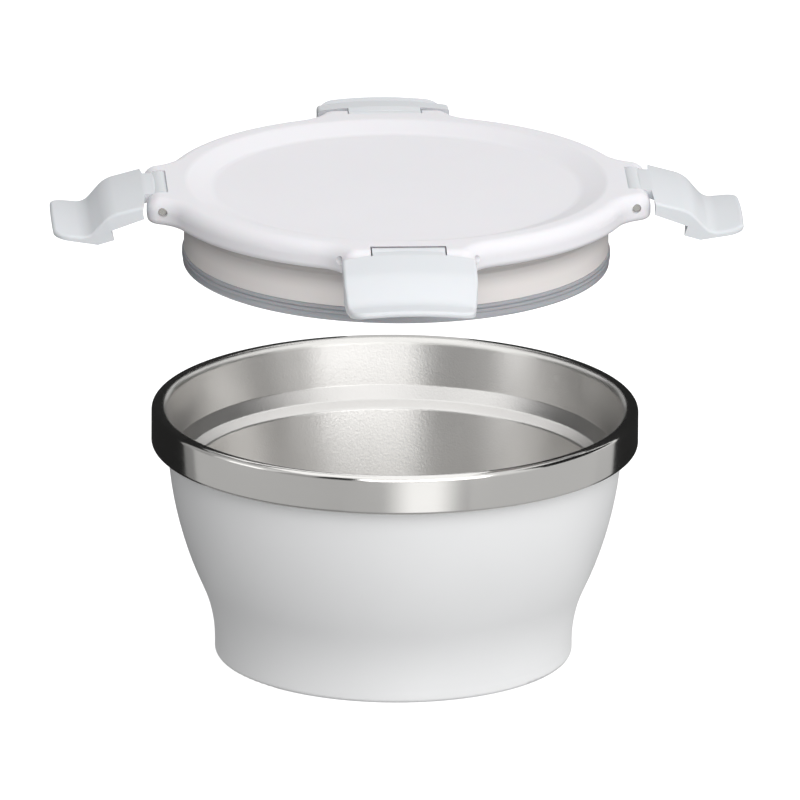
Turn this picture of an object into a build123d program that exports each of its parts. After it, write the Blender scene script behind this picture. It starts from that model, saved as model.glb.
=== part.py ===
from build123d import *
import os
from math import asin, atan2, cos, degrees, hypot, radians, sin, tan

# Insulated steel bowl with a lid that is held above it and four swing latches, in millimetres.
# +Z is up and the origin is under the middle of the bowl. Heights of the lid are those it has when it
# sits on the bowl, and LID_LIFT raises it to where it hangs. A latch is drawn shut, with its pin along Y.

# Bowl: overall form
BOWL_HEIGHT = 84.0
RIM_RADIUS = 80.0
STEEL = 0.6
BAND_HEIGHT = 12.8
BAND_OVERHANG = 5.3
BAND_LOWER_ROUND = 1.2
RIM_EDGE_ROUND = 1.6
FOOT_RADIUS = 58.8
FOOT_HEIGHT = 4.0
FOOT_EDGE_ROUND = 1.4
FOOT_LAND = 5.8
WAIST_FLARE = 4.4
WAIST_HEIGHT = 24.0

# Bowl: inside of the liner
RIM_LAND = 4.7
MOUTH_BEND = 0.4
SOCKET_DEPTH = 15.4
SOCKET_DRAFT = 3.0
SHOULDER_STEP = 2.6
SHOULDER_DROP = 4.2
SHOULDER_BEND = 1.5
LEDGE_STEP = 3.6
LEDGE_DROP = 2.0
LIP_BEND = 0.8
CAVITY_FLOOR = 8.0
CAVITY_INSET = 4.7
CAVITY_CORNER_ROUND = 22.0

# Bowl: closed space between the two walls
BASE_RECESS = 2.6
BASE_RIM_WIDTH = 5.5
BASE_SLOPE = 2.5
BASE_BEND = 1.2
SEAL_RADIUS = 4.0
SEAL_HEIGHT = 1.0
GETTER_RADIUS = 5.0
GETTER_HEIGHT = 1.6
GETTER_OFFSET = 20.0
GETTER_ROUND = 0.4
FOIL_THICKNESS = 0.3
FOIL_GAP = 0.1
FOIL_MARGIN = 4.0

# Lid cover
LID_LIFT = 68.5
LID_SEAT_GAP = 0.3
LID_INSET = 2.5
LID_RING_WIDTH = 8.5
RECESS_SLOPE = 8.5
RECESS_DEPTH = 3.0
LID_WALL = 2.0
SKIRT_ROUND = 2.0
LID_EDGE_ROUND = 4.4
CROWN_ROUND = 4.0
RECESS_ROUND = 6.0

# Lid plug, foam and gasket
COLLAR_INSET = 4.3
COLLAR_HEIGHT = 3.3
HOLLOW_STEP = 1.0
PLUG_GAP = 2.7
PLUG_WALL = 2.0
GASKET_HEIGHT = 5.2
GASKET_THICKNESS = 2.4
GASKET_LIP_HEIGHT = 1.8
GASKET_LIP_INSET = 0.1
GASKET_LIP_FLOOR = 0.2
GASKET_RIDGE = 0.6
GASKET_RIDGES = 2
SEAL_GAP = 0.5

# Hinges
PIN_RADIUS = 1.5
PIN_INSET = 2.5
PIN_ABOVE_SEAT = 4.6
PIN_END_INSET = 0.6
PIN_CHAMFER = 0.3
PIN_RUNNING_GAP = 0.05
HINGE_SPAN = 43.5
KNUCKLE_SPAN = 23.7
KNUCKLE_RADIUS = 4.1
KNUCKLE_GAP = 0.5
EAR_REACH = 4.9
EAR_TAPER = 1.7
EAR_SIDE_ROUND = 5.0
EAR_SIDE_FLAT = 0.3
EAR_FLARE = 9.3
EAR_FLARE_RUN = 8.0
EAR_FLARE_ROUND = 14.0
SWING_GAP = 0.5

# Latches
OPEN_ANGLE = 70.0
BACK_OPEN_ANGLE = 78.0
LATCH_GAP = 0.4
ARM_WALL = 2.6
ARM_BELLY = 1.1
ARM_SHOULDER_ROUND = 6.0
ARM_BELLY_ROUND = 10.0
CROWN_RADIUS = 150.0
HOOK_REACH = 2.8
HOOK_GAP = 0.3
BELLY_ABOVE_HOOK = 1.0
VALLEY_BELOW_HOOK = 8.0
VALLEY_ROUND = 5.0
TAB_LENGTH = 11.5
TAB_FLARE = 26.0
TAB_THICKNESS = 1.9
TAB_SPAN = 39.5
TAB_CORNER_ROUND = 5.0
TAPER_ROUND = 8.0
LATCH_EDGE_ROUND = 1.1

# Worked out: bowl
BAND_BOTTOM = BOWL_HEIGHT - BAND_HEIGHT
SEAM_RADIUS = RIM_RADIUS - RIM_EDGE_ROUND - STEEL
SHELL_TOP_RADIUS = RIM_RADIUS - BAND_OVERHANG
FOOT_OPENING = FOOT_RADIUS - FOOT_LAND
WAIST_LEAN = 2 * atan2(WAIST_FLARE, WAIST_HEIGHT - FOOT_HEIGHT)
MOUTH = (RIM_RADIUS - RIM_LAND, BOWL_HEIGHT)
SHOULDER_TOP = (MOUTH[0] - SOCKET_DRAFT, MOUTH[1] - SOCKET_DEPTH)
SHOULDER_FOOT = (SHOULDER_TOP[0] - SHOULDER_STEP, SHOULDER_TOP[1] - SHOULDER_DROP)
LIP = (SHOULDER_FOOT[0] - LEDGE_STEP, SHOULDER_FOOT[1] - LEDGE_DROP)
CAVITY_CORNER = (FOOT_RADIUS - CAVITY_INSET, CAVITY_FLOOR)
BASE_RIM_RADIUS = FOOT_RADIUS - 2 * FOOT_EDGE_ROUND
BASE_TOP = BASE_RECESS + STEEL

# Worked out: lid
LID_SEAT = BOWL_HEIGHT + LID_SEAT_GAP
LID_RADIUS = RIM_RADIUS - LID_INSET
PIN_CIRCLE = RIM_RADIUS - PIN_INSET
PIN_HEIGHT = LID_SEAT + PIN_ABOVE_SEAT
LID_TOP = PIN_HEIGHT + KNUCKLE_RADIUS
CREST = (LID_RADIUS - LID_RING_WIDTH, LID_TOP)
RECESS = (CREST[0] - RECESS_SLOPE, CREST[1] - RECESS_DEPTH)
LID_CEILING = RECESS[1] - LID_WALL
COLLAR_RADIUS = MOUTH[0] - COLLAR_INSET
HOLLOW_RADIUS = COLLAR_RADIUS - HOLLOW_STEP
PLUG_RADIUS = SHOULDER_TOP[0] - PLUG_GAP
GASKET_LIP_RADIUS = PLUG_RADIUS - GASKET_LIP_INSET
LEDGE_UNDER_LIP = SHOULDER_FOOT[1] - (SHOULDER_FOOT[0] - GASKET_LIP_RADIUS) * LEDGE_DROP / LEDGE_STEP
GASKET_BOTTOM = LEDGE_UNDER_LIP + SEAL_GAP
GASKET_TOP = GASKET_BOTTOM + GASKET_HEIGHT
PLUG_BOTTOM = GASKET_BOTTOM + GASKET_LIP_FLOOR
GROOVE_BOTTOM = GASKET_BOTTOM + GASKET_LIP_HEIGHT
GROOVE_RADIUS = PLUG_RADIUS - GASKET_THICKNESS
FLANGE_RADIUS = GROOVE_RADIUS + GASKET_THICKNESS / 2
FOAM_RADIUS = GROOVE_RADIUS - PLUG_WALL
FOAM_BOTTOM = PLUG_BOTTOM + PLUG_WALL

# Worked out: hinges
PIN_LENGTH = HINGE_SPAN - 2 * PIN_END_INSET
EAR_END = PIN_CIRCLE + EAR_REACH
EAR_CORNER = (EAR_END, HINGE_SPAN / 2 - EAR_TAPER)
FLARE_TURN = asin((HINGE_SPAN / 2 + EAR_FLARE) / LID_RADIUS)
FLARE_END = (LID_RADIUS * cos(FLARE_TURN), LID_RADIUS * sin(FLARE_TURN))
FLARE_CORNER = (
    FLARE_END[0] + EAR_FLARE_RUN * sin(FLARE_TURN),
    FLARE_END[1] - EAR_FLARE_RUN * cos(FLARE_TURN),
)
EAR_SIDE = (EAR_CORNER[0] - FLARE_CORNER[0], FLARE_CORNER[1] - EAR_CORNER[1])
EAR_LEAN = atan2(*EAR_SIDE)
FLARE_ROOM = hypot(*EAR_SIDE) - EAR_SIDE_ROUND * tan(EAR_LEAN / 2) - EAR_SIDE_FLAT
FLARE_ROUND = min(EAR_FLARE_ROUND, FLARE_ROOM / tan((EAR_LEAN - FLARE_TURN) / 2))
NOTCH_SPAN = KNUCKLE_SPAN + 2 * KNUCKLE_GAP
NOTCH_RADIUS = KNUCKLE_RADIUS + KNUCKLE_GAP
EAR_SWEEP = SKIRT_ROUND + hypot(EAR_REACH - SKIRT_ROUND, PIN_ABOVE_SEAT - SKIRT_ROUND)
SHOULDER_SWEEP = EAR_SWEEP + SWING_GAP

# Worked out: latch, from its pin
ARM_FACE = PIN_INSET + LATCH_GAP + ARM_WALL
HOOK_RADIUS = RIM_RADIUS - HOOK_REACH
HOOK_TOP = BAND_BOTTOM - HOOK_GAP - PIN_HEIGHT
BELLY = (ARM_FACE + ARM_BELLY, HOOK_TOP + BELLY_ABOVE_HOOK)
VALLEY = (HOOK_RADIUS - PIN_CIRCLE + TAB_THICKNESS, HOOK_TOP - VALLEY_BELOW_HOOK)
TAB_RUN = (sin(radians(TAB_FLARE)), -cos(radians(TAB_FLARE)))
TAB_TIP = (VALLEY[0] + TAB_LENGTH * TAB_RUN[0], VALLEY[1] + TAB_LENGTH * TAB_RUN[1])
TAB_UNDER_TIP = (TAB_TIP[0] + TAB_THICKNESS * TAB_RUN[1], TAB_TIP[1] - TAB_THICKNESS * TAB_RUN[0])
LATCH_ROOT = -HINGE_SPAN / 4
LATCH_ROOT_DROP = (TAB_UNDER_TIP[0] - LATCH_ROOT) / tan(radians(TAB_FLARE))

# Upright plane through the bowl's axis for the lid, raised with it
LID_SECTION = Plane(origin=(0, 0, LID_LIFT), x_dir=(1, 0, 0), z_dir=(0, -1, 0))
SIDES = {"right": 0, "back": 90, "left": 180, "front": 270}
OPENINGS = {"right": OPEN_ANGLE, "back": BACK_OPEN_ANGLE, "left": OPEN_ANGLE, "front": OPEN_ANGLE}


def hinge_place(turn, opening):
    """Place of a hinge on the raised lid, turned round the bowl's axis and opened about its pin."""
    return Location((0, 0, LID_LIFT + PIN_HEIGHT), (0, 0, turn)) * Location((PIN_CIRCLE, 0, 0), (0, -opening, 0))


def shell_wall(inset):
    """Draw one face of the outer shell's wall, from the foot ring's opening up to the band."""
    foot = FilletPolyline(
        (FOOT_OPENING, inset),
        (FOOT_RADIUS - inset, inset),
        (FOOT_RADIUS - inset, FOOT_HEIGHT),
        radius=FOOT_EDGE_ROUND - inset,
    )
    waist_end = (
        FOOT_RADIUS + WAIST_FLARE - inset * cos(WAIST_LEAN),
        WAIST_HEIGHT + inset * sin(WAIST_LEAN),
    )
    waist = TangentArc(foot @ 1, waist_end, tangent=foot % 1)
    TangentArc(waist @ 1, (SHELL_TOP_RADIUS - inset, BAND_BOTTOM), tangent=waist % 1)


def ear_outline(turn):
    """Draw a pair of hinge ears as they grow out of the lid's ring, and the ring up to the next pair."""
    half = [FLARE_END, FLARE_CORNER, EAR_CORNER]
    corners = [(x, -y) for x, y in half] + half[::-1]
    FilletPolyline(
        *[Vector(*corner).rotate(Axis.Z, turn) for corner in corners],
        radius=[FLARE_ROUND, EAR_SIDE_ROUND, EAR_SIDE_ROUND, FLARE_ROUND],
    )
    ring_start = turn + degrees(FLARE_TURN)
    CenterArc((0, 0), LID_RADIUS, ring_start, 360 / len(SIDES) - 2 * degrees(FLARE_TURN))


def on_crest(edge):
    """Tell whether a round edge is the crest of the lid's ring."""
    return abs(edge.radius - CREST[0]) < PIN_RUNNING_GAP


def save(builder, name):
    """Label a finished piece and write its file."""
    builder.part.label = name
    export_step(builder.part, f"parts/{name}.step")


os.makedirs("parts", exist_ok=True)

# Inner liner: cavity, ledge and shoulder for the lid, mouth and rim flange in one sheet
with BuildPart() as inner_liner:
    with BuildSketch(Plane.XZ):
        with BuildLine():
            FilletPolyline(
                (0, CAVITY_FLOOR),
                CAVITY_CORNER,
                LIP,
                SHOULDER_FOOT,
                SHOULDER_TOP,
                MOUTH,
                (SEAM_RADIUS, BOWL_HEIGHT),
                radius=[CAVITY_CORNER_ROUND, LIP_BEND + STEEL, SHOULDER_BEND, SHOULDER_BEND, MOUTH_BEND + STEEL],
            )
            offset(amount=STEEL, side=Side.RIGHT)
        make_face()
    revolve(axis=Axis.Z)
save(inner_liner, "inner_liner")

# Rim band: rolled ring that carries on from the liner's flange and comes back under to the shell
with BuildPart() as rim_band:
    with BuildSketch(Plane.XZ):
        with BuildLine():
            FilletPolyline(
                (SEAM_RADIUS, BOWL_HEIGHT),
                (RIM_RADIUS, BOWL_HEIGHT),
                (RIM_RADIUS, BAND_BOTTOM),
                (SHELL_TOP_RADIUS - STEEL, BAND_BOTTOM),
                radius=[RIM_EDGE_ROUND, BAND_LOWER_ROUND],
            )
            offset(amount=STEEL, side=Side.RIGHT)
        make_face()
    revolve(axis=Axis.Z)
save(rim_band, "rim_band")

# Outer shell: foot ring, hollow waist and swelling belly, level under the band
with BuildPart() as outer_shell:
    with BuildSketch(Plane.XZ):
        with BuildLine():
            shell_wall(0)
            shell_wall(STEEL)
            Line((FOOT_OPENING, 0), (FOOT_OPENING, STEEL))
            Line((SHELL_TOP_RADIUS, BAND_BOTTOM), (SHELL_TOP_RADIUS - STEEL, BAND_BOTTOM))
        make_face()
    revolve(axis=Axis.Z)
save(outer_shell, "outer_shell")

# Base plate: pressed disc welded on the foot ring, raised in the middle
with BuildPart() as base_plate:
    with BuildSketch(Plane.XZ):
        with BuildLine():
            FilletPolyline(
                (0, BASE_RECESS),
                (BASE_RIM_RADIUS - BASE_RIM_WIDTH - BASE_SLOPE, BASE_RECESS),
                (BASE_RIM_RADIUS - BASE_RIM_WIDTH, STEEL),
                (BASE_RIM_RADIUS, STEEL),
                radius=BASE_BEND,
            )
            offset(amount=STEEL, side=Side.LEFT)
        make_face()
    revolve(axis=Axis.Z)
save(base_plate, "base_plate")

# Vacuum seal: solder bead over the hole that the air was drawn out through
with BuildPart() as vacuum_seal:
    with BuildSketch(Plane.XZ):
        with BuildLine():
            Polyline((0, BASE_RECESS - SEAL_HEIGHT), (0, BASE_RECESS), (SEAL_RADIUS, BASE_RECESS))
            TangentArc((0, BASE_RECESS - SEAL_HEIGHT), (SEAL_RADIUS, BASE_RECESS), tangent=(1, 0))
        make_face()
    revolve(axis=Axis.Z)
save(vacuum_seal, "vacuum_seal")

# Getter: pill that soaks up the gas left in the closed space
with BuildPart() as getter:
    with Locations((GETTER_OFFSET, 0, BASE_TOP)):
        Cylinder(GETTER_RADIUS, GETTER_HEIGHT, align=(Align.CENTER, Align.CENTER, Align.MIN))
    fillet(getter.edges().group_by(Axis.Z)[-1], GETTER_ROUND)
save(getter, "getter")

# Radiation foil: thin wrap on the straight part of the liner's cavity wall
cavity_wall = Vector(*LIP) - Vector(*CAVITY_CORNER)
foil_line = Line(CAVITY_CORNER, LIP)
foil_out = Vector(cavity_wall.Y, -cavity_wall.X).normalized()
foil_inside = STEEL + FOIL_GAP
foil_low = foil_line.position_at(CAVITY_CORNER_ROUND + FOIL_MARGIN, position_mode=PositionMode.LENGTH)
foil_high = foil_line.position_at(cavity_wall.length - FOIL_MARGIN, position_mode=PositionMode.LENGTH)
with BuildPart() as radiation_foil:
    with BuildSketch(Plane.XZ):
        with BuildLine():
            Polyline(
                foil_low + foil_out * foil_inside,
                foil_high + foil_out * foil_inside,
                foil_high + foil_out * (foil_inside + FOIL_THICKNESS),
                foil_low + foil_out * (foil_inside + FOIL_THICKNESS),
                close=True,
            )
        make_face()
    revolve(axis=Axis.Z)
save(radiation_foil, "radiation_foil")

# Hinge notch: room for a knuckle, rounded behind it and open to the outside
with BuildPart() as hinge_notch:
    with BuildSketch(LID_SECTION):
        with BuildLine():
            Polyline(
                (PIN_CIRCLE, PIN_HEIGHT + NOTCH_RADIUS),
                (EAR_END + KNUCKLE_GAP, PIN_HEIGHT + NOTCH_RADIUS),
                (EAR_END + KNUCKLE_GAP, LID_SEAT - KNUCKLE_GAP),
                (PIN_CIRCLE - NOTCH_RADIUS, LID_SEAT - KNUCKLE_GAP),
                (PIN_CIRCLE - NOTCH_RADIUS, PIN_HEIGHT),
            )
            RadiusArc(
                (PIN_CIRCLE - NOTCH_RADIUS, PIN_HEIGHT),
                (PIN_CIRCLE, PIN_HEIGHT + NOTCH_RADIUS),
                NOTCH_RADIUS,
            )
        make_face()
    extrude(amount=NOTCH_SPAN / 2, both=True)

# Lid cover: ring and skirt that swell into a pair of hinge ears at each latch, with a dished top
with BuildPart() as lid_cover:
    with BuildSketch(Plane.XY.offset(LID_LIFT + LID_SEAT)):
        with BuildLine():
            for turn in SIDES.values():
                ear_outline(turn)
        make_face()
    extrude(amount=LID_TOP - LID_SEAT)
    fillet(lid_cover.edges().group_by(Axis.Z)[-1], LID_EDGE_ROUND)
    fillet(lid_cover.edges().group_by(Axis.Z)[0], SKIRT_ROUND)
    with BuildSketch(LID_SECTION):
        with BuildLine():
            FilletPolyline((0, RECESS[1]), RECESS, CREST, radius=RECESS_ROUND)
            Polyline(CREST, (0, LID_TOP), (0, RECESS[1]))
        make_face()
    revolve(axis=Axis.Z, mode=Mode.SUBTRACT)
    fillet(lid_cover.edges().filter_by(GeomType.CIRCLE).filter_by(on_crest), CROWN_ROUND)
    with Locations((0, 0, LID_LIFT + LID_SEAT)):
        Cylinder(
            HOLLOW_RADIUS,
            LID_CEILING - LID_SEAT,
            align=(Align.CENTER, Align.CENTER, Align.MIN),
            mode=Mode.SUBTRACT,
        )
    with PolarLocations(0, len(SIDES)):
        add(hinge_notch.part, mode=Mode.SUBTRACT)
    with Locations((0, 0, LID_LIFT + PIN_HEIGHT)):
        with PolarLocations(PIN_CIRCLE, len(SIDES)):
            Cylinder(PIN_RADIUS, HINGE_SPAN + EAR_FLARE, rotation=(90, 0, 0), mode=Mode.SUBTRACT)
save(lid_cover, "lid_cover")

# Lid plug: cup under the cover that reaches into the bowl's mouth, with a groove for the gasket
with BuildPart() as lid_plug:
    with BuildSketch(LID_SECTION):
        with BuildLine():
            Polyline(
                (0, PLUG_BOTTOM),
                (FLANGE_RADIUS, PLUG_BOTTOM),
                (FLANGE_RADIUS, GROOVE_BOTTOM),
                (GROOVE_RADIUS, GROOVE_BOTTOM),
                (GROOVE_RADIUS, GASKET_TOP),
                (PLUG_RADIUS, GASKET_TOP),
                (PLUG_RADIUS, LID_SEAT - COLLAR_HEIGHT),
                (COLLAR_RADIUS, LID_SEAT - COLLAR_HEIGHT),
                (COLLAR_RADIUS, LID_SEAT),
                (HOLLOW_RADIUS, LID_SEAT),
                (HOLLOW_RADIUS, LID_CEILING),
                (FOAM_RADIUS, LID_CEILING),
                (FOAM_RADIUS, FOAM_BOTTOM),
                (0, FOAM_BOTTOM),
                close=True,
            )
        make_face()
    revolve(axis=Axis.Z)
save(lid_plug, "lid_plug")

# Lid insulation: foam disc that fills the plug under the cover
with BuildPart() as lid_insulation:
    with Locations((0, 0, LID_LIFT + FOAM_BOTTOM)):
        Cylinder(FOAM_RADIUS, LID_CEILING - FOAM_BOTTOM, align=(Align.CENTER, Align.CENTER, Align.MIN))
save(lid_insulation, "lid_insulation")

# Gasket: silicone ring in the groove, with ridges round it and a lip that comes down on the ledge
ridge_pitch = (GASKET_TOP - GROOVE_BOTTOM) / GASKET_RIDGES
with BuildPart() as lid_gasket:
    with BuildSketch(LID_SECTION):
        with BuildLine():
            Polyline(
                (FLANGE_RADIUS, GASKET_BOTTOM),
                (FLANGE_RADIUS, GROOVE_BOTTOM),
                (GROOVE_RADIUS, GROOVE_BOTTOM),
                (GROOVE_RADIUS, GASKET_TOP),
                (PLUG_RADIUS, GASKET_TOP),
            )
            for ridge in range(GASKET_RIDGES):
                ridge_top = GASKET_TOP - ridge * ridge_pitch
                ThreePointArc(
                    (PLUG_RADIUS, ridge_top),
                    (PLUG_RADIUS + GASKET_RIDGE, ridge_top - ridge_pitch / 2),
                    (PLUG_RADIUS, ridge_top - ridge_pitch),
                )
            ThreePointArc(
                (PLUG_RADIUS, GROOVE_BOTTOM),
                (GASKET_LIP_RADIUS, (GROOVE_BOTTOM + GASKET_BOTTOM) / 2),
                (FLANGE_RADIUS, GASKET_BOTTOM),
            )
        make_face()
    revolve(axis=Axis.Z)
save(lid_gasket, "lid_gasket")

# Latch, drawn shut round its pin: crowned arm, hook under the band, thumb tab and hinge knuckle
with BuildPart() as latch_form:
    with BuildSketch(Plane.XZ):
        with BuildLine():
            arm = FilletPolyline(
                (LATCH_ROOT, 0),
                (KNUCKLE_RADIUS, 0),
                (ARM_FACE, -KNUCKLE_RADIUS),
                BELLY,
                VALLEY,
                TAB_TIP,
                radius=[PIN_RADIUS, ARM_SHOULDER_ROUND, ARM_BELLY_ROUND, VALLEY_ROUND],
            )
            Polyline(
                TAB_TIP,
                TAB_UNDER_TIP,
                (LATCH_ROOT, TAB_UNDER_TIP[1] + LATCH_ROOT_DROP),
                (LATCH_ROOT, 0),
            )
        make_face()
    revolve(axis=Axis((ARM_FACE - CROWN_RADIUS, 0, 0), (0, 0, 1)))
    with BuildSketch(Plane.YZ.offset(LATCH_ROOT)):
        with BuildLine():
            FilletPolyline(
                (-HINGE_SPAN / 2, 0),
                (-HINGE_SPAN / 2, HOOK_TOP),
                (-TAB_SPAN / 2, TAB_TIP[1]),
                (TAB_SPAN / 2, TAB_TIP[1]),
                (HINGE_SPAN / 2, HOOK_TOP),
                (HINGE_SPAN / 2, 0),
                radius=[TAPER_ROUND, TAB_CORNER_ROUND, TAB_CORNER_ROUND, TAPER_ROUND],
            )
            Line((HINGE_SPAN / 2, 0), (-HINGE_SPAN / 2, 0))
        make_face()
    extrude(amount=2 * HINGE_SPAN, mode=Mode.INTERSECT)
    fillet(latch_form.edges().group_by(Axis.Z)[0].sort_by(Axis.X)[-1], LATCH_EDGE_ROUND)
    with Locations((-PIN_CIRCLE, 0, HOOK_TOP)):
        Cylinder(
            RIM_RADIUS + LATCH_GAP,
            -HOOK_TOP,
            align=(Align.CENTER, Align.CENTER, Align.MIN),
            mode=Mode.SUBTRACT,
        )
    with Locations((-PIN_CIRCLE, 0, 0)):
        Cylinder(HOOK_RADIUS, 2 * -TAB_UNDER_TIP[1], mode=Mode.SUBTRACT)
    with GridLocations(0, HINGE_SPAN, 1, 2):
        Cylinder(SHOULDER_SWEEP, HINGE_SPAN - KNUCKLE_SPAN, rotation=(90, 0, 0), mode=Mode.SUBTRACT)
    Cylinder(KNUCKLE_RADIUS, KNUCKLE_SPAN, rotation=(90, 0, 0))
    Cylinder(PIN_RADIUS + PIN_RUNNING_GAP, KNUCKLE_SPAN, rotation=(90, 0, 0), mode=Mode.SUBTRACT)

# A latch and its pin on each side of the lid
for side, turn in SIDES.items():
    with BuildPart() as hinge_pin:
        with Locations(hinge_place(turn, 0)):
            Cylinder(PIN_RADIUS, PIN_LENGTH, rotation=(90, 0, 0))
        chamfer(hinge_pin.edges().filter_by(GeomType.CIRCLE), PIN_CHAMFER)
    save(hinge_pin, f"hinge_pin_{side}")

    with BuildPart() as latch:
        with Locations(hinge_place(turn, OPENINGS[side])):
            add(latch_form.part)
    save(latch, f"latch_{side}")
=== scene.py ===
import logging
import math
from dataclasses import dataclass, field
from enum import Enum
from typing import Sequence

import bpy
from mathutils import Matrix, Quaternion, Vector


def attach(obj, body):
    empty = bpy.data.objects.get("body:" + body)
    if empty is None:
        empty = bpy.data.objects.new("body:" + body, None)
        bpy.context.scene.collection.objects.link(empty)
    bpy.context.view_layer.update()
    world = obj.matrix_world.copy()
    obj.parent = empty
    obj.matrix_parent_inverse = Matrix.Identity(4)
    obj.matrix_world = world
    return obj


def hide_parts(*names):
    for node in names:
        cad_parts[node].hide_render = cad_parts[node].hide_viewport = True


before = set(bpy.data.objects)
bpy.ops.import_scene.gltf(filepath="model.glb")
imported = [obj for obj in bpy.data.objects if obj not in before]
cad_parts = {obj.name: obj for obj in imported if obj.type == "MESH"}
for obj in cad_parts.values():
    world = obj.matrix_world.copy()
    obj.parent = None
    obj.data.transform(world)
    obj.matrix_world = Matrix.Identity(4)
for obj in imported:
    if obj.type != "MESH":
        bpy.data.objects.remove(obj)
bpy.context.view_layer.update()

# Looks of an insulated steel bowl with its lid held above it, in metres, in the solids' frame.

MM = 0.001
LOG = logging.getLogger("bowl")

Colour = tuple[float, float, float]
Pair = tuple[float, float]
Outline = list[Pair]
Socket = bpy.types.NodeSocket

WHITE = (1.0, 1.0, 1.0, 1.0)


class Side(Enum):
    """The four sides of the lid that carry a latch."""

    FRONT = "front"
    BACK = "back"
    LEFT = "left"
    RIGHT = "right"


class Marks(Enum):
    """How the fine marks of a surface run."""

    RINGS = "rings"
    PEBBLE = "pebble"


class Bench:
    """Lays out the nodes of a material or of the sky."""

    def __init__(self, tree: bpy.types.NodeTree) -> None:
        """Take the tree that the nodes go into."""
        self.tree = tree

    def add(self, kind: str, **settings: object) -> bpy.types.Node:
        """Add a node.

        Args:
            kind: The node's type without its ShaderNode prefix.
            settings: Properties of the node to set.

        Returns:
            The new node.
        """
        node = self.tree.nodes.new("ShaderNode" + kind)
        for key, value in settings.items():
            setattr(node, key, value)
        return node

    def join(self, source: Socket, target: Socket) -> None:
        """Link two sockets."""
        self.tree.links.new(source, target)

    def fed(self, kind: str, *sources: Socket, **settings: object) -> bpy.types.Node:
        """Add a node and link its first inputs.

        Args:
            kind: The node's type without its ShaderNode prefix.
            sources: What to link to the inputs, in their order.
            settings: Properties of the node to set.

        Returns:
            The new node.
        """
        node = self.add(kind, **settings)
        for source, target in zip(sources, node.inputs):
            self.join(source, target)
        return node

    def ramp(self, value: Socket, reach: Pair, levels: Pair, soft: bool = True) -> Socket:
        """Change from one level to another while a value runs over its reach.

        Args:
            value: What the change follows.
            reach: Values where it starts and ends.
            levels: Levels at the start and at the end.
            soft: Whether it starts and ends gently.

        Returns:
            The level's socket.
        """
        change = self.fed("MapRange", value, interpolation_type="SMOOTHSTEP" if soft else "LINEAR")
        names = ("From Min", "From Max", "To Min", "To Max")
        for name, number in zip(names, (*reach, *levels)):
            change.inputs[name].default_value = number
        return change.outputs["Result"]


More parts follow.
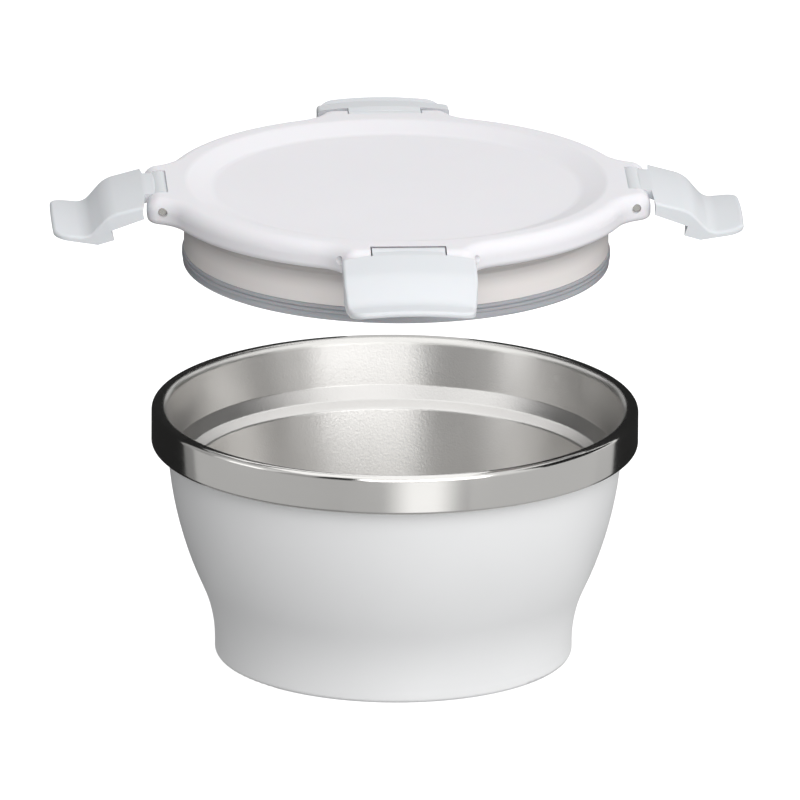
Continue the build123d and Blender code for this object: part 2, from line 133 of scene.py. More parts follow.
class Paint(Bench):
    """Lays out the nodes of one material."""

    THIN_TO_THICK = (0.3, 0.7)
    QUARTER_TURN = 0.25
    LEVEL = (1.0, 1.0, 0.0)

    def __init__(self, name: str) -> None:
        """Start a material with a plain shader.

        Args:
            name: The material's name.
        """
        self.material = bpy.data.materials.new(name)
        self.material.use_nodes = True
        super().__init__(self.material.node_tree)
        self.shader = self.tree.nodes["Principled BSDF"]

    def set_sockets(self, values: dict[str, object]) -> None:
        """Set sockets of the shader that are the same all over the surface."""
        for name, value in values.items():
            self.shader.inputs[name].default_value = value

    def place(self) -> Socket:
        """Give the place on the piece, in metres."""
        return self.add("TexCoord").outputs["Object"]

    def height(self) -> Socket:
        """Give the height on the piece, in metres."""
        return self.fed("SeparateXYZ", self.place()).outputs["Z"]

    def from_axis(self) -> Socket:
        """Give the way from the axis to the place, level.

        Returns:
            The way as a vector socket.
        """
        flat = self.fed("VectorMath", self.place(), operation="MULTIPLY")
        flat.inputs[1].default_value = self.LEVEL
        return flat.outputs["Vector"]

    def radius(self) -> Socket:
        """Give the distance from the axis, in metres."""
        return self.fed("VectorMath", self.from_axis(), operation="LENGTH").outputs["Value"]

    def turned_place(self, stretch: float) -> Socket:
        """Give a place that changes fast across turned lines and slowly along them, with no seam.

        Args:
            stretch: Radius of the small circle that the place follows round the axis, in metres.

        Returns:
            The place as a vector socket.
        """
        direction = self.fed("VectorMath", self.from_axis(), operation="NORMALIZE")
        round_axis = self.fed("VectorMath", direction.outputs["Vector"], operation="SCALE")
        round_axis.inputs["Scale"].default_value = stretch
        along_wall = self.fed("Math", self.height(), self.radius(), operation="ADD")
        lift = self.add("CombineXYZ")
        self.join(along_wall.outputs["Value"], lift.inputs["Z"])
        ways = (round_axis.outputs["Vector"], lift.outputs["Vector"])
        return self.fed("VectorMath", *ways, operation="ADD").outputs["Vector"]

    def noise(self, place: Socket, grain: float, detail: float) -> Socket:
        """Add a cloud of soft grains.

        Args:
            place: Where the surface is.
            grain: Size of a grain, in metres.
            detail: How many finer layers the cloud has.

        Returns:
            The cloud's value socket.
        """
        cloud = self.fed("TexNoise", place)
        cloud.inputs["Scale"].default_value = 1.0 / grain
        cloud.inputs["Detail"].default_value = detail
        return cloud.outputs["Fac"]

    def tint(self, cloud: Socket, thin: Colour, thick: Colour) -> Socket:
        """Mix two near shades by a cloud.

        Args:
            cloud: A cloud from 0 to 1.
            thin: Colour where the cloud is thin.
            thick: Colour where it is thick.

        Returns:
            The colour socket.
        """
        shades = self.fed("ValToRGB", cloud)
        stops = shades.color_ramp.elements
        for stop, position, colour in zip(stops, self.THIN_TO_THICK, (thin, thick)):
            stop.position = position
            stop.color = (*colour, 1.0)
        return shades.outputs["Color"]

    def painted_shade_to_top(self, colour: Socket, rise: Pair, share: float) -> Socket:
        """Paint shade into a colour towards the top of a piece, where an overhang keeps light out.

        Args:
            colour: The colour so far.
            rise: Heights where the change starts and ends, in metres.
            share: What is left of the brightness at the top.

        Returns:
            The colour socket with the painted shade.
        """
        scaled = self.fed("VectorMath", colour, operation="SCALE")
        self.join(self.ramp(self.height(), rise, (1.0, share)), scaled.inputs["Scale"])
        return scaled.outputs["Vector"]

    def dulled(self, gloss: Socket, within: Pair, extra: float) -> Socket:
        """Make the surface duller near the axis.

        Args:
            gloss: The roughness so far.
            within: Radii where the dull part is full and where it ends, in metres.
            extra: Roughness that the dull part adds.

        Returns:
            The roughness with the dull part.
        """
        added = self.ramp(self.radius(), within, (extra, 0.0))
        return self.fed("Math", gloss, added, operation="ADD").outputs["Value"]

    def stretch_gloss(self, amount: float) -> None:
        """Stretch reflections across lines that run round the axis, as fine turned lines do.

        Args:
            amount: How far they stretch, from 0 to 1.
        """
        lines = self.add("Tangent", direction_type="RADIAL", axis="Z")
        self.set_sockets({"Anisotropic": amount, "Anisotropic Rotation": self.QUARTER_TURN})
        self.join(lines.outputs["Tangent"], self.shader.inputs["Tangent"])

    def relief(self, height: Socket, depth: float, strength: float) -> None:
        """Raise the surface's fine marks.

        Args:
            height: The cloud that gives the height.
            depth: Full height of the marks, in metres.
            strength: How much of it is felt by the light.
        """
        bump = self.add("Bump")
        bump.inputs["Distance"].default_value = depth
        bump.inputs["Strength"].default_value = strength
        self.join(height, bump.inputs["Height"])
        self.join(bump.outputs["Normal"], self.shader.inputs["Normal"])


def shade(colour: Colour, share: float) -> Colour:
    """Scale a colour's brightness."""
    return (colour[0] * share, colour[1] * share, colour[2] * share)


@dataclass(frozen=True)
class Finish:
    """A surface: its colour, its gloss and the fine marks on it."""

    name: str
    colour: Colour
    roughness: float
    metallic: float = 0.0
    marks: Marks = Marks.PEBBLE
    grain: float = 0.6 * MM
    grain_detail: float = 3.0
    depth: float = 0.02 * MM
    strength: float = 0.2
    mottle: float = 0.02
    cloud: float = 30 * MM
    cloud_detail: float = 2.0
    gloss_change: float = 0.04
    specular: float = 0.5
    subsurface: float = 0.0
    subsurface_reach: float = 1.0 * MM
    stretched_gloss: float = 0.0
    turn_stretch: float = 0.33 * MM
    dull_within: Pair | None = None
    dull_extra: float = 0.0
    # Painted shade: the colour darkens towards the top between these heights, standing in for a
    # shadow.
    painted_shade_rise: Pair | None = None
    painted_shade_share: float = 1.0

    def make(self) -> bpy.types.Material:
        """Make the finish's material.

        Returns:
            The material.
        """
        paint = Paint(self.name)
        inputs = paint.shader.inputs
        paint.set_sockets({"Metallic": self.metallic, "Specular IOR Level": self.specular})
        if self.subsurface:
            paint.set_sockets({
                "Subsurface Weight": self.subsurface,
                "Subsurface Scale": self.subsurface_reach,
            })
        if self.stretched_gloss:
            paint.stretch_gloss(self.stretched_gloss)

        turned = self.marks is Marks.RINGS
        place = paint.turned_place(self.turn_stretch) if turned else paint.place()
        fine = paint.noise(place, self.grain, self.grain_detail)
        paint.relief(fine, self.depth, self.strength)

        broad = paint.noise(paint.place(), self.cloud, self.cloud_detail)
        thin = shade(self.colour, 1.0 - self.mottle)
        thick = shade(self.colour, 1.0 + self.mottle)
        colour = paint.tint(broad, thin, thick)
        # Paint shade into the colour towards the top of the piece, where a finish asks for it.
        if self.painted_shade_rise:
            colour = paint.painted_shade_to_top(colour, self.painted_shade_rise, self.painted_shade_share)
        paint.join(colour, inputs["Base Color"])

        levels = (self.roughness - self.gloss_change, self.roughness + self.gloss_change)
        gloss = paint.ramp(fine, paint.THIN_TO_THICK, levels, soft=False)
        if self.dull_within:
            gloss = paint.dulled(gloss, self.dull_within, self.dull_extra)
        paint.join(gloss, inputs["Roughness"])
        return paint.material


BAND_STEEL = Finish(
    name="band_steel", colour=(0.72, 0.71, 0.69), roughness=0.15, metallic=1.0,
    marks=Marks.RINGS, grain=0.22 * MM, depth=0.004 * MM, strength=0.05, mottle=0.01,
    gloss_change=0.03, stretched_gloss=0.8, dull_within=(75.4 * MM, 77.0 * MM), dull_extra=0.18,
)
LINER_STEEL = Finish(
    name="liner_steel", colour=(0.68, 0.67, 0.655), roughness=0.3, metallic=1.0,
    grain=0.7 * MM, depth=0.05 * MM, strength=0.9, mottle=0.01, gloss_change=0.02,
    stretched_gloss=0.6,
)
BASE_STEEL = Finish(
    name="base_steel", colour=(0.6, 0.595, 0.58), roughness=0.36, metallic=1.0,
    marks=Marks.RINGS, grain=0.35 * MM, depth=0.006 * MM, strength=0.4, mottle=0.03,
    gloss_change=0.06,
)
WHITE_COAT = Finish(
    name="white_coat", colour=(0.87, 0.875, 0.88), roughness=0.42, grain=0.7 * MM,
    depth=0.02 * MM, strength=0.16, mottle=0.008, gloss_change=0.05,
)
LID_WHITE = Finish(
    name="lid_white", colour=(0.81, 0.8, 0.83), roughness=0.46, grain=0.4 * MM,
    depth=0.01 * MM, strength=0.16, mottle=0.006, gloss_change=0.05, subsurface=0.08,
)
LATCH_WHITE = Finish(
    name="latch_white", colour=(0.7, 0.72, 0.745), roughness=0.4, grain=0.4 * MM,
    depth=0.01 * MM, strength=0.14, mottle=0.006, gloss_change=0.05, subsurface=0.06,
)
# The plug's colour carries painted shade: darker near its top, standing in for the shadow under
# the lid's skirt.
PLUG_WHITE = Finish(
    name="plug_white", colour=(0.8, 0.765, 0.75), roughness=0.42, grain=0.4 * MM,
    depth=0.01 * MM, strength=0.14, mottle=0.01, gloss_change=0.05, subsurface=0.1,
    painted_shade_rise=(142.5 * MM, 151.0 * MM), painted_shade_share=0.62,
)
SILICONE = Finish(
    name="gasket_silicone", colour=(0.4, 0.412, 0.44), roughness=0.3, grain=0.9 * MM,
    depth=0.01 * MM, strength=0.03, mottle=0.01, gloss_change=0.02, subsurface=0.35,
)
PIN_STEEL = Finish(
    name="pin_steel", colour=(0.6, 0.59, 0.56), roughness=0.24, metallic=1.0,
    grain=0.15 * MM, depth=0.004 * MM, strength=0.3, mottle=0.04,
)
SOLDER = Finish(
    name="solder", colour=(0.45, 0.45, 0.46), roughness=0.5, metallic=1.0,
    grain=0.8 * MM, depth=0.08 * MM, strength=0.5, mottle=0.08, cloud=2 * MM,
)
GETTER_METAL = Finish(
    name="getter_metal", colour=(0.2, 0.2, 0.21), roughness=0.6, metallic=0.8,
    grain=0.25 * MM, depth=0.03 * MM, strength=0.5, mottle=0.15, cloud=1 * MM,
)
COPPER_FOIL = Finish(
    name="copper_foil", colour=(0.86, 0.47, 0.31), roughness=0.22, metallic=1.0,
    grain=3 * MM, depth=0.1 * MM, strength=0.3, mottle=0.05, cloud=6 * MM,
)
FOAM = Finish(
    name="foam", colour=(0.78, 0.74, 0.6), roughness=0.9, grain=0.8 * MM, depth=0.3 * MM,
    strength=0.8, mottle=0.08, cloud=2 * MM, specular=0.2,
)


def wear(node: str, material: bpy.types.Material) -> None:
    """Give a solid of the frame its finish.

    Args:
        node: The solid's name.
        material: Its material.
    """
    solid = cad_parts[node]
    for slot in solid.material_slots:
        slot.material = material
    LOG.info("%s wears %s", node, material.name)


@dataclass(frozen=True)
class Corner:
    """A corner of a turned outline, and how round it is."""

    radius: float
    height: float
    bend: float = 0.0

    def spot(self) -> Vector:
        """Give the corner as a point."""
        return Vector((self.radius, self.height))


def rounded(corners: Sequence[Corner], steps: int) -> Outline:
    """Round the corners of an outline.

    Args:
        corners: The outline's corners in order. The first and the last stay sharp.
        steps: How many runs a round has.

    Returns:
        Radius and height of each point in turn.
    """
    points = [corners[0].spot()]
    for before, corner, after in zip(corners, corners[1:], corners[2:]):
        if not corner.bend:
            points.append(corner.spot())
            continue
        back = (before.spot() - corner.spot()).normalized()
        ahead = (after.spot() - corner.spot()).normalized()
        half = back.angle(ahead) / 2
        middle = corner.spot() + (back + ahead).normalized() * corner.bend / math.sin(half)
        reach = corner.bend / math.tan(half)
        first = (corner.spot() + back * reach - middle).normalized()
        last = (corner.spot() + ahead * reach - middle).normalized()
        for step in range(steps + 1):
            points.append(middle + first.slerp(last, step / steps) * corner.bend)
    points.append(corners[-1].spot())
    return [(point.x, point.y) for point in points]


def backed(outline: Outline, thickness: float) -> Outline:
    """Draw the back of a sheet.

    Args:
        outline: The sheet's face, from the middle outwards.
        thickness: The sheet's thickness.

    Returns:
        The sheet's back, in the same order.
    """
    spots = [Vector(point) for point in outline]
    back = []
    for spot, after, before in zip(spots, spots[1:] + spots[-1:], spots[:1] + spots[:-1]):
        run = (after - before).normalized()
        back.append((spot.x + run.y * thickness, spot.y - run.x * thickness))
    return back


class TurnedPiece:
    """Models a turned piece by pulling a ring of edges from one radius and height to the next."""

    STEPS = 320
    MERGE = 0.002 * MM

    def __init__(self, name: str, outline: Outline) -> None:
        """Add the first ring and pull the others out of it.

        Args:
            name: The piece's name.
            outline: Radius and height of each ring in turn.
        """
        self.radius, self.height = outline[0]
        bpy.ops.object.select_all(action="DESELECT")
        bpy.ops.mesh.primitive_circle_add(vertices=self.STEPS, radius=self.radius)
        self.piece = bpy.context.object
        self.piece.name = name
        self.piece.data.name = name
        bpy.ops.object.mode_set(mode="EDIT")
        bpy.ops.mesh.select_all(action="SELECT")
        bpy.ops.transform.translate(value=(0.0, 0.0, self.height))
        for radius, height in outline[1:]:
            self.pull(radius, height)

    def pull(self, radius: float, height: float) -> None:
        """Pull a new ring out of the chosen one.

        Args:
            radius: The new ring's radius.
            height: Its height.
        """
        grow = radius / self.radius
        middle = (0.0, 0.0, self.height)
        bpy.ops.mesh.extrude_region()
        bpy.ops.transform.resize(value=(grow, grow, 1.0), center_override=middle)
        bpy.ops.transform.translate(value=(0.0, 0.0, height - self.height))
        self.radius = radius
        self.height = height

    def cap_ends(self) -> None:
        """Close the two open rings with flat faces."""
        bpy.ops.mesh.select_all(action="SELECT")
        bpy.ops.mesh.region_to_loop()
        bpy.ops.mesh.edge_face_add()

    def join_ends(self) -> None:
        """Merge the last ring with the first, where they meet."""
        bpy.ops.mesh.select_all(action="SELECT")
        bpy.ops.mesh.remove_doubles(threshold=self.MERGE)

    def finish(self, edge_angle: float) -> bpy.types.Object:
        """Turn the faces outwards and shade them.

        Args:
            edge_angle: Edges that bend by more than this, in degrees, stay crisp.

        Returns:
            The finished piece.
        """
        bpy.ops.mesh.select_all(action="SELECT")
        bpy.ops.mesh.normals_make_consistent(inside=False)
        bpy.ops.object.mode_set(mode="OBJECT")
        bpy.ops.object.shade_smooth_by_angle(angle=math.radians(edge_angle))
        return self.piece


def stand_for(piece: bpy.types.Object, node: str, body: str, finish: Finish) -> None:
    """Let a new piece take the place of a solid of the frame.

    Args:
        piece: The new piece.
        node: The solid that it stands for.
        body: The body that it moves with.
        finish: Its finish.
    """
    piece.data.materials.append(finish.make())
    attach(piece, body)
    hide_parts(node)
    LOG.info("%s stands for %s", piece.name, node)


@dataclass
class Bowl:
    """The double-walled steel bowl."""

    body: str = "bowl"
    sheet: float = 0.6 * MM
    rim_radius: float = 80.0 * MM
    rim_top: float = 84.0 * MM
    rim_round: float = 1.6 * MM
    band_bottom: float = 71.2 * MM
    band_round: float = 1.2 * MM
    band_end: float = 74.1 * MM
    mouth_drop: float = 2.2 * MM
    centre: float = 0.4 * MM
    cavity_floor: Corner = Corner(54.1 * MM, 8.0 * MM, 22.0 * MM)
    lip: Corner = Corner(66.1 * MM, 62.4 * MM, 1.4 * MM)
    shoulder_foot: Corner = Corner(69.7 * MM, 64.4 * MM, 1.5 * MM)
    shoulder_top: Corner = Corner(72.3 * MM, 68.6 * MM, 1.5 * MM)
    mouth: Corner = Corner(75.3 * MM, 84.0 * MM, 2.6 * MM)
    liner_steps: int = 16
    band_steps: int = 10
    edge_angle: float = 35.0
    finishes: dict[str, Finish] = field(
        default_factory=lambda: {
            "outer_shell": WHITE_COAT,
            "base_plate": BASE_STEEL,
            "vacuum_seal": SOLDER,
            "getter": GETTER_METAL,
            "radiation_foil": COPPER_FOIL,
        }
    )

    def polish_line(self) -> Corner:
        """Find where the satin liner ends and the polished rim begins, under the mouth's bend.

        Returns:
            The line as a sharp corner of both outlines.
        """
        wall = self.shoulder_top.spot() - self.mouth.spot()
        line = self.mouth.spot() + wall.normalized() * self.mouth_drop
        return Corner(line.x, line.y)

    def press_liner(self) -> None:
        """Press the satin liner: cavity, ledge, shoulder and mouth wall in one sheet."""
        face = rounded([
            Corner(self.centre, self.cavity_floor.height),
            self.cavity_floor,
            self.lip,
            self.shoulder_foot,
            self.shoulder_top,
            self.polish_line(),
        ], self.liner_steps)
        liner = TurnedPiece("pressed_liner", face + backed(face, self.sheet)[::-1])
        liner.cap_ends()
        stand_for(liner.finish(self.edge_angle), "inner_liner", self.body, LINER_STEEL)

    def roll_band(self) -> None:
        """Roll the bright band, from the mouth's bend over the rim and under to the shell."""
        inside = self.rim_radius - self.sheet
        under = self.rim_top - self.sheet
        floor = self.band_bottom + self.sheet
        line = self.polish_line()
        outline = rounded([
            line,
            self.mouth,
            Corner(self.rim_radius, self.rim_top, self.rim_round),
            Corner(self.rim_radius, self.band_bottom, self.band_round),
            Corner(self.band_end, self.band_bottom),
            Corner(self.band_end, floor),
            Corner(inside, floor, self.band_round - self.sheet),
            Corner(inside, under, self.rim_round - self.sheet),
            Corner(self.mouth.radius + self.sheet, under, self.mouth.bend - self.sheet),
            Corner(line.radius + self.sheet, line.height),
            line,
        ], self.band_steps)
        band = TurnedPiece("rolled_band", outline)
        band.join_ends()
        stand_for(band.finish(self.edge_angle), "rim_band", self.body, BAND_STEEL)

    def dress(self) -> None:
        """Give the bowl's other pieces their finish."""
        for node, finish in self.finishes.items():
            wear(node, finish.make())

    def build(self) -> None:
        """Make the bowl's own pieces and dress the rest."""
        self.press_liner()
        self.roll_band()
        self.dress()


@dataclass
class Lid:
    """The lid without its latches."""

    body: str = "lid"
    seat: float = 152.8 * MM
    ceiling: float = 156.5 * MM
    collar_radius: float = 71.0 * MM
    collar_height: float = 3.3 * MM
    hollow_radius: float = 70.0 * MM
    neck_depth: float = 0.3 * MM
    neck_height: float = 1.8 * MM
    neck_bend: float = 0.8 * MM
    edge_round: float = 0.2 * MM
    plug_radius: float = 69.6 * MM
    plug_bottom: float = 133.49 * MM
    plug_floor: float = 2.0 * MM
    plug_steps: int = 6
    plug_edge_angle: float = 40.0
    foam_radius: float = 65.2 * MM
    groove_radius: float = 67.2 * MM
    groove_bottom: float = 135.09 * MM
    flange_radius: float = 68.4 * MM
    gasket_top: float = 138.49 * MM
    gasket_bottom: float = 133.29 * MM
    gasket_edge_angle: float = 50.0
    ridge: float = 0.6 * MM
    ridges: int = 2
    ridge_pitch: float = 1.4 * MM
    ridge_steps: int = 10
    ridge_fullness: float = 0.6
    lip_bulge: float = 0.35 * MM
    lip_steps: int = 20
    panel_radii: tuple[float, ...] = (60.0 * MM, 24.0 * MM)
    panel_step: float = 0.5 * MM
    seam: float = 0.03 * MM
    centre: float = 0.4 * MM
    finishes: dict[str, Finish] = field(
        default_factory=lambda: {"lid_cover": LID_WHITE, "lid_insulation": FOAM}
    )

    def underside(self) -> list[Corner]:
        """Draw the plug's underside from its edge to the middle: flat panels, each a step higher.

        Returns:
            The corners of the underside.
        """
        corners = []
        level = self.plug_bottom
        for edge in self.panel_radii:
            corners.append(Corner(edge, level, self.panel_step / 2))
            level += self.panel_step
            corners.append(Corner(edge - self.panel_step, level, self.panel_step / 2))
        corners.append(Corner(self.centre, level))
        return corners

    def mould_plug(self) -> None:
        """Mould the cup that reaches into the bowl, with a neck under its collar."""
        collar_bottom = self.seat - self.collar_height
        neck = self.plug_radius - self.neck_depth
        neck_top = collar_bottom - self.neck_bend
        foam_floor = self.plug_bottom + self.plug_floor
        outline = rounded([
            Corner(self.centre, foam_floor),
            Corner(self.foam_radius, foam_floor),
            Corner(self.foam_radius, self.ceiling),
            Corner(self.hollow_radius, self.ceiling),
            Corner(self.hollow_radius, self.seat),
            Corner(self.collar_radius, self.seat),
            Corner(self.collar_radius, collar_bottom + self.neck_bend, self.neck_bend),
            Corner(neck, neck_top, self.neck_bend),
            Corner(self.plug_radius, neck_top - self.neck_height, self.neck_bend),
            Corner(self.plug_radius, self.gasket_top, self.edge_round),
            Corner(self.groove_radius, self.gasket_top),
            Corner(self.groove_radius, self.groove_bottom),
            Corner(self.flange_radius, self.groove_bottom),
            Corner(self.flange_radius, self.plug_bottom, self.edge_round),
            *self.underside(),
        ], self.plug_steps)
        plug = TurnedPiece("moulded_plug", outline)
        plug.cap_ends()
        stand_for(plug.finish(self.plug_edge_angle), "lid_plug", self.body, PLUG_WHITE)

    def gasket_face(self) -> Outline:
        """Draw the gasket's outer face: ridges, and under them a smooth lip that bends inwards.

        Returns:
            Radius and height of each point, from the top down.
        """
        points = []
        top = self.gasket_top - self.seam
        for ridge in range(self.ridges):
            for step in range(self.ridge_steps):
                share = step / self.ridge_steps
                swell = self.ridge * math.sin(math.pi * share) ** self.ridge_fullness
                drop = (ridge + share) * self.ridge_pitch
                points.append((self.plug_radius + swell, top - drop))
        lip_top = top - self.ridges * self.ridge_pitch
        lip_drop = lip_top - self.gasket_bottom
        lip_tuck = self.plug_radius - self.flange_radius
        for step in range(self.lip_steps + 1):
            turn = math.pi / 2 * step / self.lip_steps
            swell = self.lip_bulge * math.sin(2 * turn)
            tuck = lip_tuck * (1.0 - math.cos(turn)) ** 2
            points.append((self.plug_radius + swell - tuck, lip_top - lip_drop * math.sin(turn)))
        return points

    def mould_gasket(self) -> None:
        """Mould the silicone ring that sits in the plug's groove."""
        top = self.gasket_top - self.seam
        groove = self.groove_radius + self.seam
        flange = self.flange_radius + self.seam
        step = self.groove_bottom + self.seam
        outline = [
            (groove, top),
            *self.gasket_face(),
            (flange, self.gasket_bottom),
            (flange, step),
            (groove, step),
            (groove, top),
        ]
        gasket = TurnedPiece("ridged_gasket", outline)
        gasket.join_ends()
        stand_for(gasket.finish(self.gasket_edge_angle), "lid_gasket", self.body, SILICONE)

    def dress(self) -> None:
        """Give the lid's other pieces and its hinge pins their finish."""
        for node, finish in self.finishes.items():
            wear(node, finish.make())
        pin_steel = PIN_STEEL.make()
        for side in Side:
            wear(f"hinge_pin_{side.value}", pin_steel)

    def build(self) -> None:
        """Make the lid's own pieces and dress the rest."""
        self.mould_plug()
        self.mould_gasket()
        self.dress()


@dataclass
class Latches:
    """The four swing latches."""

    finish: Finish = LATCH_WHITE

    def dress(self) -> None:
        """Give the latches their finish."""
        latch_white = self.finish.make()
        for side in Side:
            wear(f"latch_{side.value}", latch_white)


def bearing(azimuth: float, elevation: float) -> Vector:
    """Point from the object towards something round it.

    Args:
        azimuth: Degrees from the front, with the right side at 90.
        elevation: Degrees above the floor.

    Returns:
        The direction as a unit vector.
    """
    turn = math.radians(azimuth)
    rise = math.radians(elevation)
    level = math.cos(rise)
    return Vector((math.sin(turn) * level, -math.cos(turn) * level, math.sin(rise)))


def facing(direction: Vector) -> Quaternion:
    """Turn something so that it looks back along a direction."""
    return (-direction).to_track_quat("-Z", "Y")


def add_plane(name: str, size: float) -> bpy.types.Object:
    """Add a square plane at the origin.

    Args:
        name: The plane's name.
        size: Its side.

    Returns:
        The plane.
    """
    bpy.ops.object.select_all(action="DESELECT")
    bpy.ops.mesh.primitive_plane_add(size=size)
    plane = bpy.context.object
    plane.name = name
    return plane


def glowing_paint(name: str, white: float, glow: float) -> Paint:
    """Mix a paint with no gloss that gives off white light.

    Args:
        name: The material's name.
        white: How pale it is, from 0 to 1.
        glow: Strength of its light.

    Returns:
        The paint.
    """
    paint = Paint(name)
    paint.set_sockets({
        "Base Color": (white, white, white, 1.0),
        "Specular IOR Level": 0.0,
        "Emission Color": WHITE,
        "Emission Strength": glow,
    })
    return paint


@dataclass(frozen=True)
class SoftBox:
    """A large soft light."""

    name: str
    azimuth: float
    elevation: float
    width: float
    height: float
    watts: float
    distance: float = 1.2

    def place(self, target: Vector) -> None:
        """Set the light up.

        Args:
            target: What it points at.
        """
        direction = bearing(self.azimuth, self.elevation)
        light = bpy.data.lights.new(self.name, "AREA")
        light.shape = "RECTANGLE"
        light.size = self.width
        light.size_y = self.height
        light.energy = self.watts
        lamp = bpy.data.objects.new(self.name, light)
        lamp.location = target + direction * self.distance
        lamp.rotation_mode = "QUATERNION"
        lamp.rotation_quaternion = facing(direction)
        bpy.context.scene.collection.objects.link(lamp)


@dataclass(frozen=True)
class Card:
    """A card that only glossy surfaces mirror: black, or glowing like a lit board."""

    EDGE = 0.5
    CORE = 0.08

    name: str
    azimuth: float
    distance: float
    width: float
    foot: float
    height: float
    glow: float = 0.0
    aside: float = 0.0
    flat: bool = False
    faded: float = 0.0

    def fade(self, paint: Paint) -> None:
        """Let the glow fall off from the middle of the card to its two upright edges.

        Args:
            paint: The card's paint.
        """
        across = paint.fed("SeparateXYZ", paint.add("TexCoord").outputs["UV"])
        from_middle = paint.fed("Math", across.outputs["X"], operation="SUBTRACT")
        from_middle.inputs[1].default_value = self.EDGE
        way = paint.fed("Math", from_middle.outputs["Value"], operation="ABSOLUTE")
        levels = (self.glow, self.faded)
        fall = paint.ramp(way.outputs["Value"], (self.CORE, self.EDGE), levels)
        paint.join(fall, paint.shader.inputs["Emission Strength"])

    def place(self) -> None:
        """Stand the card upright, facing the object, or hang it level over the object."""
        card = add_plane(self.name, size=1.0)
        upright = Matrix.Rotation(math.radians(0.0 if self.flat else 90.0), 4, "X")
        middle = self.foot if self.flat else self.foot + self.height / 2
        stand = Matrix.Translation((self.aside, -self.distance, middle))
        turn = Matrix.Rotation(math.radians(self.azimuth), 4, "Z")
        size = Matrix.Diagonal((self.width, self.height, 1.0, 1.0))
        card.data.transform(turn @ stand @ upright @ size)
        paint = glowing_paint(self.name, white=0.0, glow=self.glow)
        if self.faded:
            self.fade(paint)
        card.data.materials.append(paint.material)
        card.visible_camera = False
        card.visible_diffuse = False
        card.visible_shadow = False


@dataclass(frozen=True)
class BlackCorner:
    """Black cards close behind one side of the bowl, open at the height of the band."""

    side: Side
    azimuth: float
    distance: float
    width: float
    aside: float
    end_width: float
    end_aside: float
    flag_distance: float
    flag_width: float
    flag_depth: float
    flag_aside: float
    foot: float = -0.02
    gap_foot: float = 0.045
    gap_top: float = 0.085
    top: float = 0.15
    flag_height: float = 0.127
    glow: float = 0.018

    def upright(self, part: str, foot: float, top: float, width: float, aside: float) -> Card:
        """Cut one of the upright cards.

        Args:
            part: Which part of the corner it is.
            foot: Height of its lower edge.
            top: Height of its upper edge.
            width: Its width.
            aside: How far its middle is moved sideways.

        Returns:
            The card.
        """
        return Card(
            f"card_{self.side.value}_{part}", self.azimuth, self.distance, width,
            foot, top - foot, glow=self.glow, aside=aside,
        )

    def place(self) -> None:
        """Set up the corner's cards and the flag that hangs level over them."""
        whole = (self.width, self.aside)
        end = (self.end_width, self.end_aside)
        self.upright("low", self.foot, self.gap_foot, *whole).place()
        self.upright("end", self.gap_foot, self.gap_top, *end).place()
        self.upright("high", self.gap_top, self.top, *whole).place()
        Card(
            f"flag_{self.side.value}", self.azimuth, self.flag_distance, self.flag_width,
            self.flag_height, self.flag_depth, glow=self.glow, aside=self.flag_aside, flat=True,
        ).place()


@dataclass(frozen=True)
class Sky:
    """Soft light from all round, brighter from above and from the right."""

    low: float = 0.5
    high: float = 0.88
    rise_reach: Pair = (-0.5, 0.6)
    left: float = 0.5
    right: float = 1.05
    side_reach: Pair = (-0.9, 0.9)

    def hang(self) -> None:
        """Put the light round the scene."""
        world = bpy.data.worlds.new("studio")
        world.use_nodes = True
        bench = Bench(world.node_tree)
        split = bench.fed("SeparateXYZ", bench.add("TexCoord").outputs["Generated"])
        rise = bench.ramp(split.outputs["Z"], self.rise_reach, (self.low, self.high))
        side = bench.ramp(split.outputs["X"], self.side_reach, (self.left, self.right))
        both = bench.fed("Math", rise, side, operation="MULTIPLY")
        background = bench.tree.nodes["Background"]
        background.inputs["Color"].default_value = WHITE
        bench.join(both.outputs["Value"], background.inputs["Strength"])
        bpy.context.scene.world = world


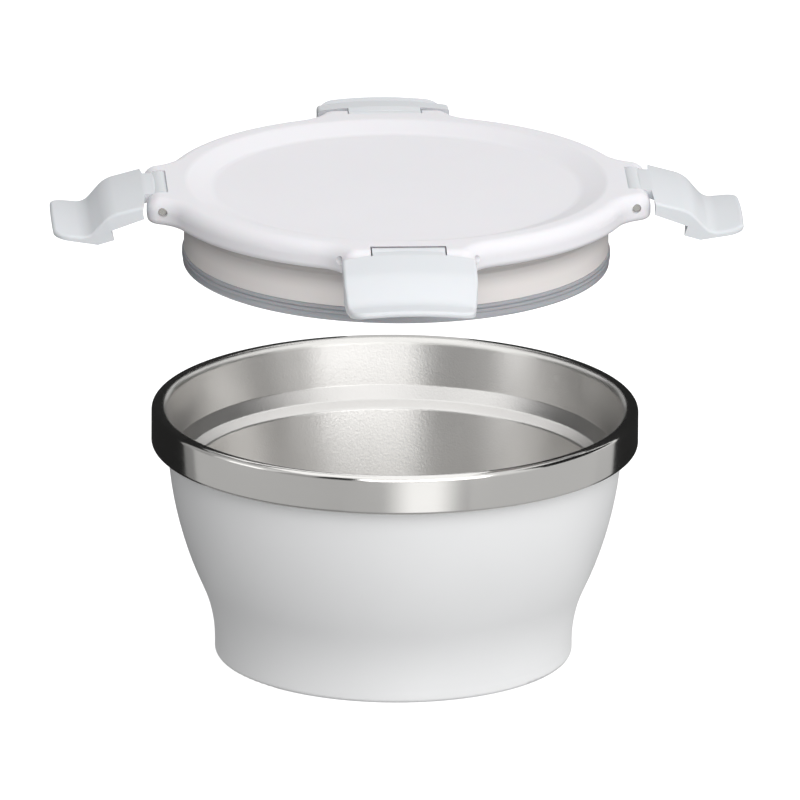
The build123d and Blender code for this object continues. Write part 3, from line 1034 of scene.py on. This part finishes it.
@dataclass
class Studio:
    """Floor, soft light and camera."""

    rim_height: float = 84.0 * MM
    frame_pixels: float = 800.0
    metres_per_pixel: float = 0.3285 * MM
    rim_pixel: Pair = (395.0, 405.2)
    azimuth: float = -3.0
    elevation: float = 17.3
    roll: float = 0.4
    distance: float = 8.0
    sight: float = 100.0
    sensor: float = 36.0
    floor_size: float = 40.0
    floor_white: float = 0.5
    floor_glow: float = 0.86
    floor_roughness: float = 0.9
    sky: Sky = Sky()
    boxes: tuple[SoftBox, ...] = (
        SoftBox("key_right", azimuth=12.0, elevation=27.0, width=1.3, height=1.1, watts=8.2),
        SoftBox("fill_left", azimuth=-76.0, elevation=22.0, width=0.8, height=0.9, watts=0.8),
        SoftBox("rim_right", azimuth=116.0, elevation=22.0, width=0.7, height=0.9, watts=1.2),
        SoftBox("overhead", azimuth=0.0, elevation=86.0, width=1.0, height=1.0, watts=1.8),
    )
    corners: tuple[BlackCorner, ...] = (
        BlackCorner(
            Side.LEFT, azimuth=-134.2, distance=0.1207, width=0.211, aside=-0.0074,
            end_width=0.1331, end_aside=0.03155,
            flag_distance=0.093, flag_width=0.146, flag_depth=0.06, flag_aside=0.0203,
        ),
        BlackCorner(
            Side.RIGHT, azimuth=129.4, distance=0.1303, width=0.19, aside=0.0116,
            end_width=0.1284, end_aside=-0.0192,
            flag_distance=0.097, flag_width=0.13, flag_depth=0.068, flag_aside=-0.0142,
        ),
    )
    cards: tuple[Card, ...] = (
        Card("board_front", azimuth=0.0, distance=0.43, width=0.42, foot=-0.2, height=0.26,
             glow=0.55),
        Card("glow_front", azimuth=9.0, distance=0.3, width=0.2, foot=-0.08, height=0.14,
             glow=1.25, faded=0.55),
        Card("board_left", azimuth=-66.0, distance=0.42, width=0.7, foot=-0.16, height=0.22,
             glow=0.55),
        Card("board_right", azimuth=66.0, distance=0.42, width=0.6, foot=-0.16, height=0.22,
             glow=0.6),
        Card("board_over", azimuth=0.0, distance=0.0, width=0.105, foot=0.129, height=0.2,
             glow=1.3, aside=-0.0175, flat=True),
        Card("flag_over", azimuth=-60.0, distance=0.045, width=0.02, foot=0.127, height=0.07,
             flat=True),
        Card("glow_left", azimuth=-71.0, distance=0.42, width=0.14, foot=0.09, height=0.14,
             glow=1.6),
        Card("shade_left", azimuth=-29.0, distance=0.5, width=0.15, foot=0.13, height=0.5),
        Card("shade_right", azimuth=90.0, distance=0.5, width=0.45, foot=0.13, height=0.5),
    )

    def lay_floor(self) -> None:
        """Lay the pale floor under the bowl, lit like a light table and see-through from below."""
        floor = add_plane("floor", self.floor_size)
        paint = glowing_paint("floor_paper", self.floor_white, self.floor_glow)
        paint.set_sockets({"Roughness": self.floor_roughness})
        backfacing = paint.add("NewGeometry").outputs["Backfacing"]
        clear = paint.add("BsdfTransparent").outputs["BSDF"]
        sides = paint.fed("MixShader", backfacing, paint.shader.outputs["BSDF"], clear)
        surface = paint.tree.nodes["Material Output"].inputs["Surface"]
        paint.join(sides.outputs["Shader"], surface)
        floor.data.materials.append(paint.material)
        floor.visible_diffuse = False
        floor.visible_glossy = False
        floor.visible_shadow = False

    def hang_lights(self) -> None:
        """Set up the soft lights, the cards and the sky round them."""
        target = Vector((0.0, 0.0, self.rim_height))
        for box in self.boxes:
            box.place(target)
        for card in (*self.corners, *self.cards):
            card.place()
        self.sky.hang()
        bpy.context.scene.view_settings.view_transform = "Standard"

    def set_camera(self) -> None:
        """Set the camera where the photograph was taken from."""
        direction = bearing(self.azimuth, self.elevation)
        rotation = facing(direction)
        right = rotation @ Vector((1.0, 0.0, 0.0))
        up = rotation @ Vector((0.0, 1.0, 0.0))
        middle = self.frame_pixels / 2
        aside = (middle - self.rim_pixel[0]) * self.metres_per_pixel
        above = (self.rim_pixel[1] - middle) * self.metres_per_pixel
        aim = Vector((0.0, 0.0, self.rim_height)) + right * aside + up * above
        lens = bpy.data.cameras.new("camera")
        lens.sensor_width = self.sensor
        lens.lens = self.sensor * self.distance / (self.frame_pixels * self.metres_per_pixel)
        lens.clip_end = self.sight
        camera = bpy.data.objects.new("camera", lens)
        camera.rotation_mode = "QUATERNION"
        camera.rotation_quaternion = Quaternion(direction, math.radians(self.roll)) @ rotation
        camera.location = aim + direction * self.distance
        bpy.context.scene.collection.objects.link(camera)
        bpy.context.scene.camera = camera

    def build(self) -> None:
        """Set up the whole studio."""
        self.lay_floor()
        self.hang_lights()
        self.set_camera()


def main() -> None:
    """Dress the bowl, its lid and its latches, and set up the studio."""
    logging.basicConfig(level=logging.INFO, format="%(name)s: %(message)s")
    Bowl().build()
    Lid().build()
    Latches().dress()
    Studio().build()


if __name__ == "__main__":
    main()
